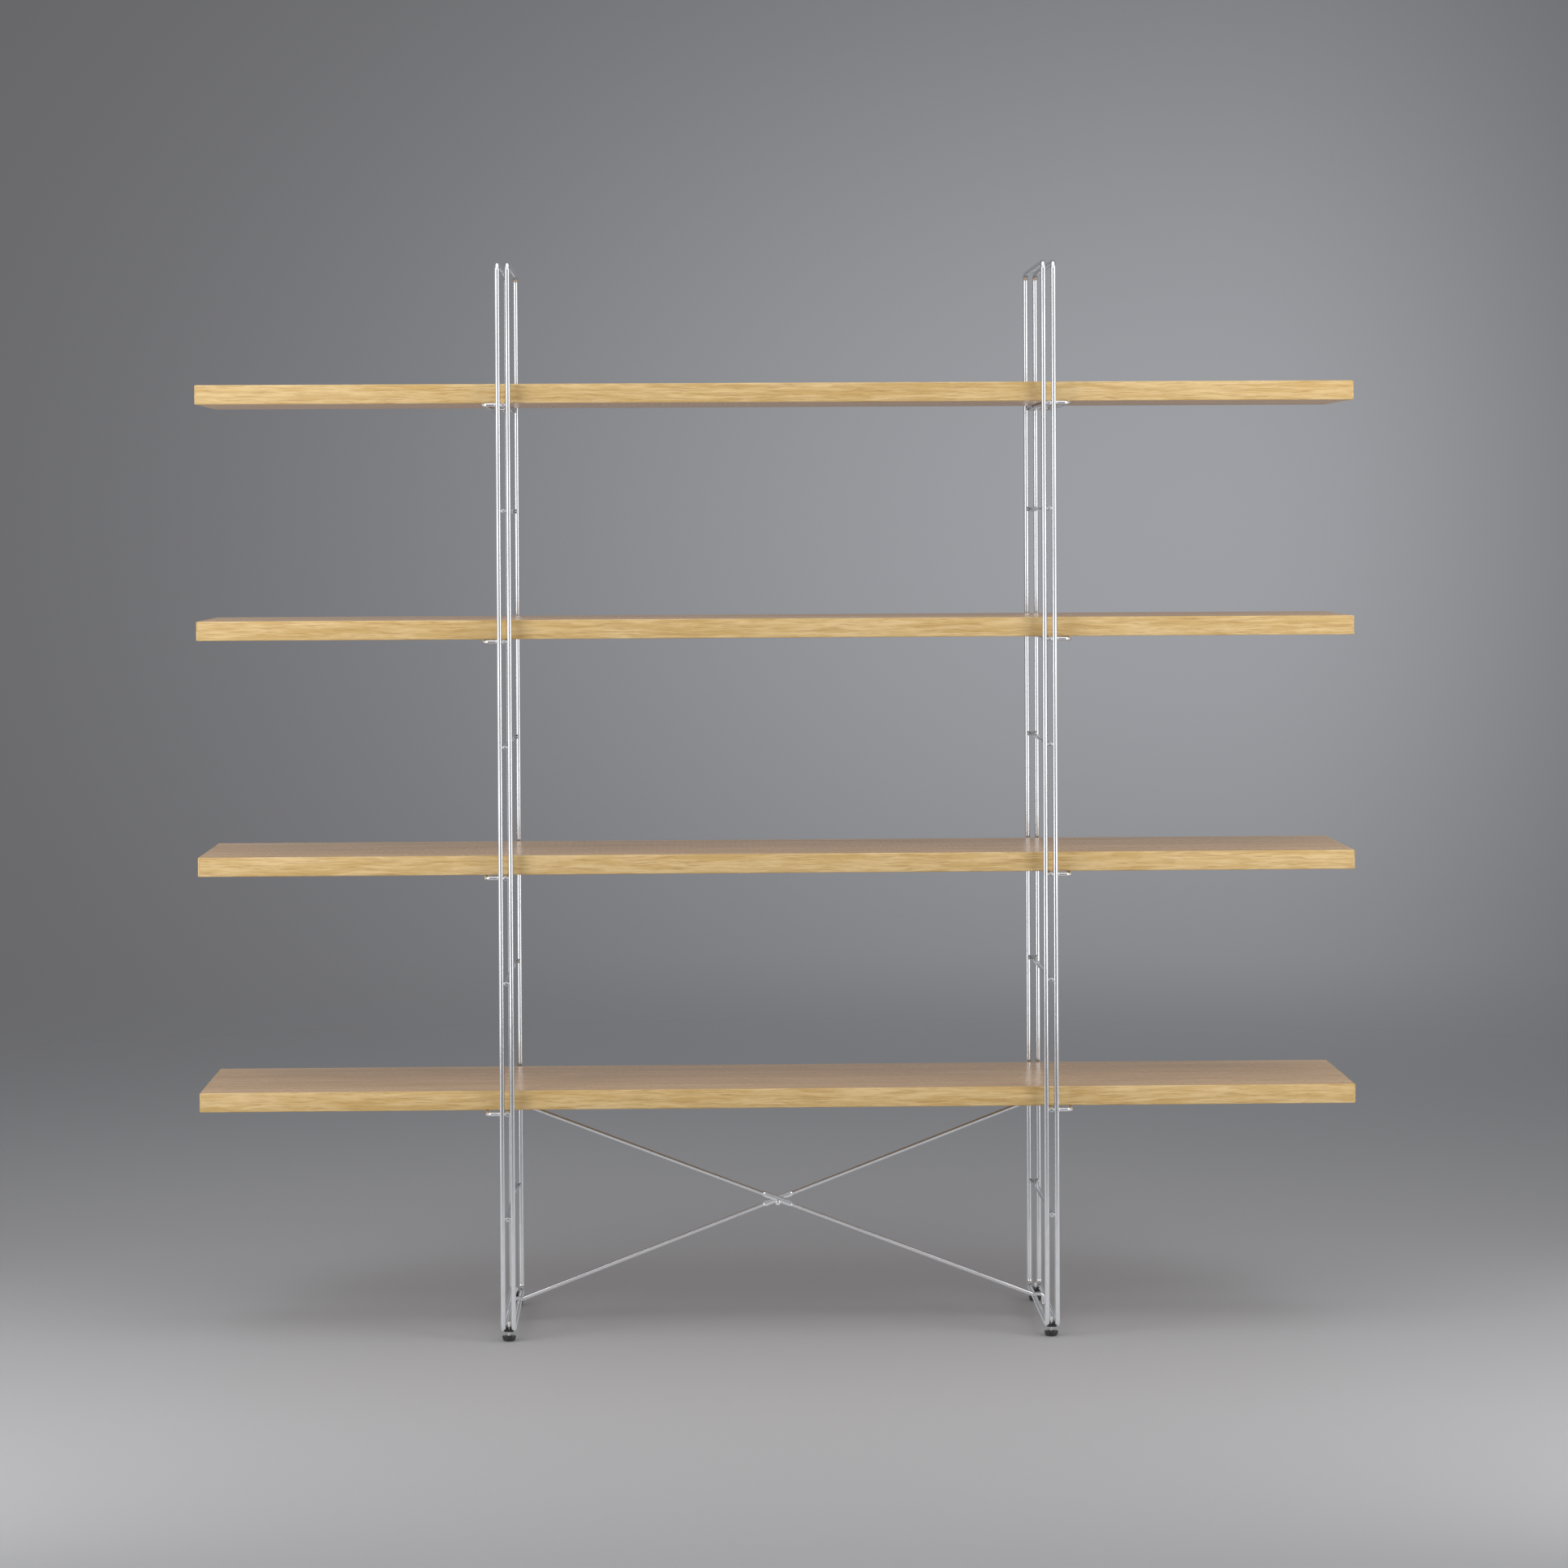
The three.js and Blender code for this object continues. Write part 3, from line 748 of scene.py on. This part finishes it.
def band_stations(inner):
    """The band's stations on its way round a board: place, direction out, depth and strip.

    The end strips turn both corners, and a fine joint parts them from the long strips."""
    stations = []
    for corner, (x, y) in enumerate([(-1, 1), (-1, -1), (1, -1), (1, 1)]):
        base = Vector((x * inner.x, y * inner.y))
        outward = Vector((0, y))
        end_strip, long_strip = (0, 1) if x < 0 else (2, 3)
        joint_follows = x == y
        if joint_follows:
            long_strip = 4 - long_strip
        turned_corner = []
        for step in range(BAND_CORNER_STEPS + 1):
            angle = math.pi / 2 * (corner + 1 + step / BAND_CORNER_STEPS)
            away = Vector((math.cos(angle), math.sin(angle)))
            turned_corner.append((base, away, 0.0, end_strip))
        sunk, clear = (base - Vector((x * BAND_JOINT_WIDTH * share, 0)) for share in (0.5, 1))
        joint = [(sunk, outward, BAND_JOINT_DEPTH, end_strip), (clear, outward, 0.0, long_strip)]
        stations += turned_corner + joint if joint_follows else joint[::-1] + turned_corner
    return stations


def band_section(half):
    """The band's section with its rounded arrises, as distances out and heights."""
    flat = EDGE_BAND_THICKNESS - EDGE_BAND_ROUND
    lower = [(0.0, -half + BAND_INNER_ARRIS), (BAND_INNER_ARRIS, -half)]
    lower += [(flat + EDGE_BAND_ROUND * math.sin(a), -half + EDGE_BAND_ROUND * (1 - math.cos(a)))
              for a in QUARTER_TURN]
    return lower + [(out, -height) for out, height in reversed(lower)]


def fit_edge_band(node, body):
    """The band round a board: four strips with rounded arrises, rounded at the board's corners."""
    low, high, middle = span(node)
    inner = Vector((high.x - EDGE_BAND_THICKNESS, high.y - EDGE_BAND_THICKNESS))
    half = (high.z - low.z) / 2
    section = band_section(half)
    stations = band_stations(inner)
    points, run = [], []
    length = 0.0
    last = stations[0][0]
    for base, away, depth, strip in stations:
        length += (base - last).length
        last = base
        for out, height in section:
            edge = base + away * max(0.0, out - depth)
            points.append((edge.x, edge.y, middle.z + height * (1 - depth / half)))
            run.append((length + strip, height + middle.z, out))
    faces = ring_faces(len(stations), len(section), True)
    band = make_piece(node + "_strips", points, faces, run, crease=50)
    fit(band, body, "oak_edge", oak_edging, node)


for shelf in SHELVES:
    fit_board(f"shelf_{shelf}_board", f"shelf_{shelf}")
    fit_edge_band(f"shelf_{shelf}_edge_band", f"shelf_{shelf}")


# Levelling feet

def fit_stud(node, body):
    """A threaded stud with a bullet-shaped end."""
    low, high, middle = span(node)
    rise = high.z - low.z
    rings = int(rise / THREAD_PITCH * THREAD_RINGS_PER_TURN)
    points = []
    for ring in range(rings + 1):
        height = rise * ring / rings
        short = max(0.0, 1 - (rise - height + STUD_NOSE_CUT) / STUD_NOSE_LENGTH)
        limit = THREAD_RADIUS * math.sqrt(1 - short ** 2)
        for side in range(THREAD_SIDES):
            turn = (height / THREAD_PITCH - side / THREAD_SIDES) % 1.0
            flank = min(1.0, max(0.0, abs(turn - 0.5) * FLANK_RISE - ROOT_FLAT))
            radius = min(limit, THREAD_RADIUS - THREAD_DEPTH * (1 - flank))
            angle = 2 * math.pi * side / THREAD_SIDES
            points.append((middle.x + radius * math.cos(angle),
                           middle.y + radius * math.sin(angle), low.z + height))
    faces = ring_faces(rings + 1, THREAD_SIDES, False)
    stud = make_piece(node + "_threaded", points, faces, crease=75)
    fit(stud, body, "zinc_steel", zinc_steel, node)


# From the floor up, as shares of the pad's radius and height
PAD_OUTLINE = [
    (0, 0), (0.70, 0), (0.76, 0.015), (0.825, 0.065), (0.88, 0.15), (0.92, 0.27), (0.94, 0.38),
    (0.945, 0.45), (0.93, 0.475), (0.93, 0.495), (0.965, 0.52), (0.99, 0.60), (1.0, 0.68),
    (1.0, 0.78), (0.992, 0.84), (0.97, 0.885), (0.93, 0.91), (0.6, 0.94), (0.56, 0.95),
    (0.54, 0.975), (0.51, 0.99), (0.47, 1.0)]


def fit_pad(node, body):
    """A moulded pad: narrow at the floor, a parting groove, a soft top edge, a raised collar."""
    low, high, middle = span(node)
    radius, height = (high.x - low.x) / 2, high.z - low.z
    bore, floor = STUD_BORE_RADIUS, height * PAD_BORE_FLOOR_SHARE
    points = [(r * radius, h * height) for r, h in PAD_OUTLINE]
    points += [(bore + PAD_BORE_CHAMFER, height), (bore, height - PAD_BORE_CHAMFER),
               (bore, floor), (0, floor)]
    place = (middle.x, middle.y, low.z)
    pad = turned(node + "_moulded", points, place, sides=64, crease=40)
    fit(pad, body, "black_plastic", black_plastic, node)


def insert_section(low, high, half_width, rail_high):
    """The insert's section across the rails: it hugs both, and its lips rise between them."""
    rail_x = abs(span("right_outer_loop")[2].x - FRAME_CENTRE)
    hug = WIRE_RADIUS + TOUCH_GAP
    lip = math.asin((high - rail_high) / hug)
    right = [(half_width - INSERT_EDGE_CHAMFER, low), (half_width, low + INSERT_EDGE_CHAMFER)]
    first = -math.pi / 2 + math.asin((rail_x - half_width) / hug)
    for step in range(INSERT_HUG_STEPS + 1):
        angle = first + (lip - first) * step / INSERT_HUG_STEPS
        right.append((rail_x - hug * math.cos(angle), rail_high + hug * math.sin(angle)))
    channel = STUD_BORE_RADIUS + INSERT_CHANNEL_SLACK
    right += [(channel, high), (channel, low + INSERT_WEB_HEIGHT)]
    return right + [(-x, z) for x, z in reversed(right)]


def bore_out(block, centre, crease):
    """Drills an upright hole for the stud right through a piece."""
    drill = turned("drill", [(0, -DRILL_REACH), (STUD_BORE_RADIUS, -DRILL_REACH),
                             (STUD_BORE_RADIUS, DRILL_REACH), (0, DRILL_REACH)], centre)
    cut = block.modifiers.new("bore", "BOOLEAN")
    cut.object = drill
    cut.operation = "DIFFERENCE"
    bpy.context.view_layer.update()
    solved = block.evaluated_get(bpy.context.evaluated_depsgraph_get())
    bored = bpy.data.meshes.new_from_object(solved)
    block.modifiers.clear()
    block.data = bored
    bored.set_sharp_from_angle(angle=math.radians(crease))
    bpy.data.objects.remove(drill)


def fit_insert(node):
    """The moulded insert: a bored web under the bottom rails, and lips that rise between them."""
    low, high, middle = span(node)
    half_width, half_length = (high.x - low.x) / 2, (high.y - low.y) / 2
    rail_high = span("right_outer_loop")[0].z + WIRE_RADIUS
    section = insert_section(low.z, high.z, half_width, rail_high)
    shape = bmesh.new()
    ends = []
    for y in (-half_length, half_length):
        ends.append([shape.verts.new((middle.x + x, middle.y + y, z)) for x, z in section])
    count = len(section)
    for index in range(count):
        on = (index + 1) % count
        shape.faces.new((ends[0][index], ends[0][on], ends[1][on], ends[1][index]))
    caps = [shape.faces.new(ends[0]), shape.faces.new(ends[1])]
    rims = [edge for cap in caps for edge in cap.edges]
    bmesh.ops.bevel(shape, geom=rims, offset=INSERT_RIM_ROUND, segments=2, affect="EDGES")
    block = from_shape(node + "_moulded", shape, crease=30)
    bore_out(block, (middle.x, middle.y, rail_high), crease=30)
    fit(block, "frame", "black_plastic", black_plastic, node)


for end, side in FOOT_CORNERS:
    foot = f"{end}_{side}_foot"
    fit_insert(foot + "_insert")
    fit_stud(foot + "_stud", foot)
    fit_pad(foot + "_pad", foot)


# Floor, light and camera

BACKDROP = (0.265, 0.270, 0.285, 1)
# Painted dim edges and glow of the backdrop, shown to the camera only
BACKDROP_DIM = (0.126, 0.125, 0.132, 1)
BACKDROP_GLOW = (0.340, 0.350, 0.372, 1)
FLOOR_GREY = (0.44, 0.44, 0.45, 1)
FLOOR_REACH = 40.0
FLOOR_FADE = (1.6, 6.0)
# Brightness of the floor's painted sheen, a glow beside the unit that is seen only in reflections
FLOOR_PAINTED_SHEEN = 0.29
FLOOR_PAINTED_SHEEN_FADE = (0.6, 1.4)

# The glow's middle and reach, as slopes of the line of sight
LEAST_AHEAD = 0.05
GLOW_ASIDE = 0.124
GLOW_REACH_RIGHT = 0.0976
GLOW_REACH_LEFT = 0.195
GLOW_REACH_UP = 0.136


def lay_floor():
    """A wide grey floor that gives way to the backdrop well away from the unit.

    Mirrored in the wires, it is brighter beside the unit. This is a painted sheen: a glow seen only
    in reflections, in place of a floor lit by side lights."""
    corners = [(-1, -1), (1, -1), (1, 1), (-1, 1)]
    points = [(x * FLOOR_REACH, y * FLOOR_REACH, 0) for x, y in corners]
    floor = make_piece("studio_floor", points, [(0, 1, 2, 3)])
    material, tree, shader = new_material("studio_floor")
    shader.inputs["Base Color"].default_value = FLOOR_GREY
    shader.inputs["Roughness"].default_value = 0.6
    shader.inputs["Specular IOR Level"].default_value = 0.2
    place = in_the_unit(tree)
    deep = calculate(tree, "ABSOLUTE", parted(tree, place)["Y"])
    # Painted sheen: the floor glows beside the unit in reflections only, in place of light from the
    # side lamps
    beside = ranged(tree, deep, *FLOOR_PAINTED_SHEEN_FADE, FLOOR_PAINTED_SHEEN, 0.0, smooth=True)
    mirrored = add(tree, "ShaderNodeLightPath").outputs["Is Glossy Ray"]
    shader.inputs["Emission Color"].default_value = (1, 1, 1, 1)
    tree.links.new(calculate(tree, "MULTIPLY", beside, mirrored),
                   shader.inputs["Emission Strength"])
    away = add(tree, "ShaderNodeVectorMath", {0: place}, operation="LENGTH").outputs["Value"]
    fade = ranged(tree, away, *FLOOR_FADE, smooth=True)
    beyond = add(tree, "ShaderNodeBsdfTransparent").outputs[0]
    mixed = add(tree, "ShaderNodeMixShader", {0: fade, 1: shader.outputs[0], 2: beyond})
    output = next(node for node in tree.nodes if node.type == "OUTPUT_MATERIAL")
    tree.links.new(mixed.outputs[0], output.inputs["Surface"])
    floor.data.materials.append(material)


def hang_softbox(name, place, facing, width, height, brightness):
    """A soft panel of even brightness, out of the camera's sight."""
    light = bpy.data.lights.new(name, "AREA")
    light.shape = "RECTANGLE"
    light.size, light.size_y = width, height
    light.energy = brightness * math.pi * width * height
    lamp = bpy.data.objects.new(name, light)
    lamp.location = place
    lamp.rotation_euler = Vector(facing).to_track_quat("-Z", "Y").to_euler()
    lamp.visible_camera = False
    bpy.context.scene.collection.objects.link(lamp)


def hang_side_lights(name, side):
    """A panel square to one side and a key softbox nearer the front.

    Each has a twin that faces away, so that light and dark floor don't meet in a line under it."""
    panel, key = (side * 1.62, -0.4, 1.4), (side * 1.6, -1.42, 1.66)
    inward, key_inward = (-side, 0, 0), (-side * 0.68, 0.73, 0)
    outward, key_outward = (side, 0, 0), (side * 0.68, -0.73, 0)
    hang_softbox(f"{name}_side_panel", panel, inward, width=1.6, height=2.7, brightness=0.5)
    hang_softbox(f"{name}_outer_panel", panel, outward, width=1.6, height=2.7, brightness=0.5)
    hang_softbox(f"{name}_key_softbox", key, key_inward, width=0.9, height=2.9, brightness=2.6)
    hang_softbox(f"{name}_outer_softbox", key, key_outward, width=0.9, height=2.9, brightness=2.2)


def light_room():
    """An even grey room. Its backdrop is seen with a painted soft glow right of the unit's middle
    and painted dim edges, which light nothing.
    """
    world = bpy.data.worlds.new("studio")
    bpy.context.scene.world = world
    world.use_nodes = True
    tree = world.node_tree
    towards = parted(tree, add(tree, "ShaderNodeTexCoord").outputs["Generated"])
    ahead = calculate(tree, "MAXIMUM", towards["Y"], LEAST_AHEAD)
    slope = calculate(tree, "DIVIDE", towards["X"], ahead)
    aside = calculate(tree, "SUBTRACT", slope, GLOW_ASIDE)
    level = calculate(tree, "DIVIDE", towards["Z"], ahead)
    from_middle = calculate(tree, "MAXIMUM", calculate(tree, "DIVIDE", aside, GLOW_REACH_RIGHT),
                            calculate(tree, "DIVIDE", aside, -GLOW_REACH_LEFT))
    from_horizon = calculate(tree, "DIVIDE", level, GLOW_REACH_UP)
    spread = calculate(tree, "ADD", calculate(tree, "POWER", from_middle, 2.0),
                       calculate(tree, "MULTIPLY", from_horizon, from_horizon))
    glow = calculate(tree, "EXPONENT", calculate(tree, "MULTIPLY", spread, -1.0))
    seen = blended(tree, glow, BACKDROP_DIM, BACKDROP_GLOW)
    direct = add(tree, "ShaderNodeLightPath").outputs["Is Camera Ray"]
    shown = blended(tree, direct, BACKDROP, seen)
    tree.links.new(shown, tree.nodes["Background"].inputs["Color"])
    tree.nodes["Background"].inputs["Strength"].default_value = 1.0


def set_camera():
    """The photograph's own view, as fitted to its edges. Angles are in radians."""
    frame_pixels = 1932
    place = Vector((-0.1493, -6.8018, 1.2753))
    yaw, pitch, roll = 0.02411, -0.01784, -0.00512
    focal_pixels = 5278.5
    level = Vector((math.cos(yaw), -math.sin(yaw), 0))
    ahead = Vector((math.sin(yaw) * math.cos(pitch), math.cos(yaw) * math.cos(pitch),
                    math.sin(pitch)))
    upright = level.cross(ahead)
    right = level * math.cos(roll) + upright * math.sin(roll)
    up = upright * math.cos(roll) - level * math.sin(roll)
    data = bpy.data.cameras.new("camera")
    data.sensor_fit = "HORIZONTAL"
    data.sensor_width = 36.0
    data.lens = focal_pixels / frame_pixels * data.sensor_width
    data.shift_y = -0.12
    data.clip_end = 200.0
    camera = bpy.data.objects.new("camera", data)
    turn = Matrix((right, up, -ahead)).transposed()
    camera.matrix_world = Matrix.Translation(place) @ turn.to_4x4()
    bpy.context.scene.collection.objects.link(camera)
    bpy.context.scene.camera = camera


lay_floor()
light_room()
for name, side in SIDES.items():
    hang_side_lights(name, side)
hang_softbox("front_softbox", (0, -8.5, 1.7), (0, 1, 0),
             width=6.0, height=3.2, brightness=0.28)
hang_softbox("overhead_front_softbox", (0, -3.6, 4.0), (0, 0.74, -0.67),
             width=4.0, height=1.6, brightness=0.85)
hang_softbox("top_softbox", (0, -0.6, 3.4), (0, 0, -1),
             width=3.6, height=2.4, brightness=1.2)
set_camera()
bpy.context.scene.view_settings.view_transform = "Standard"
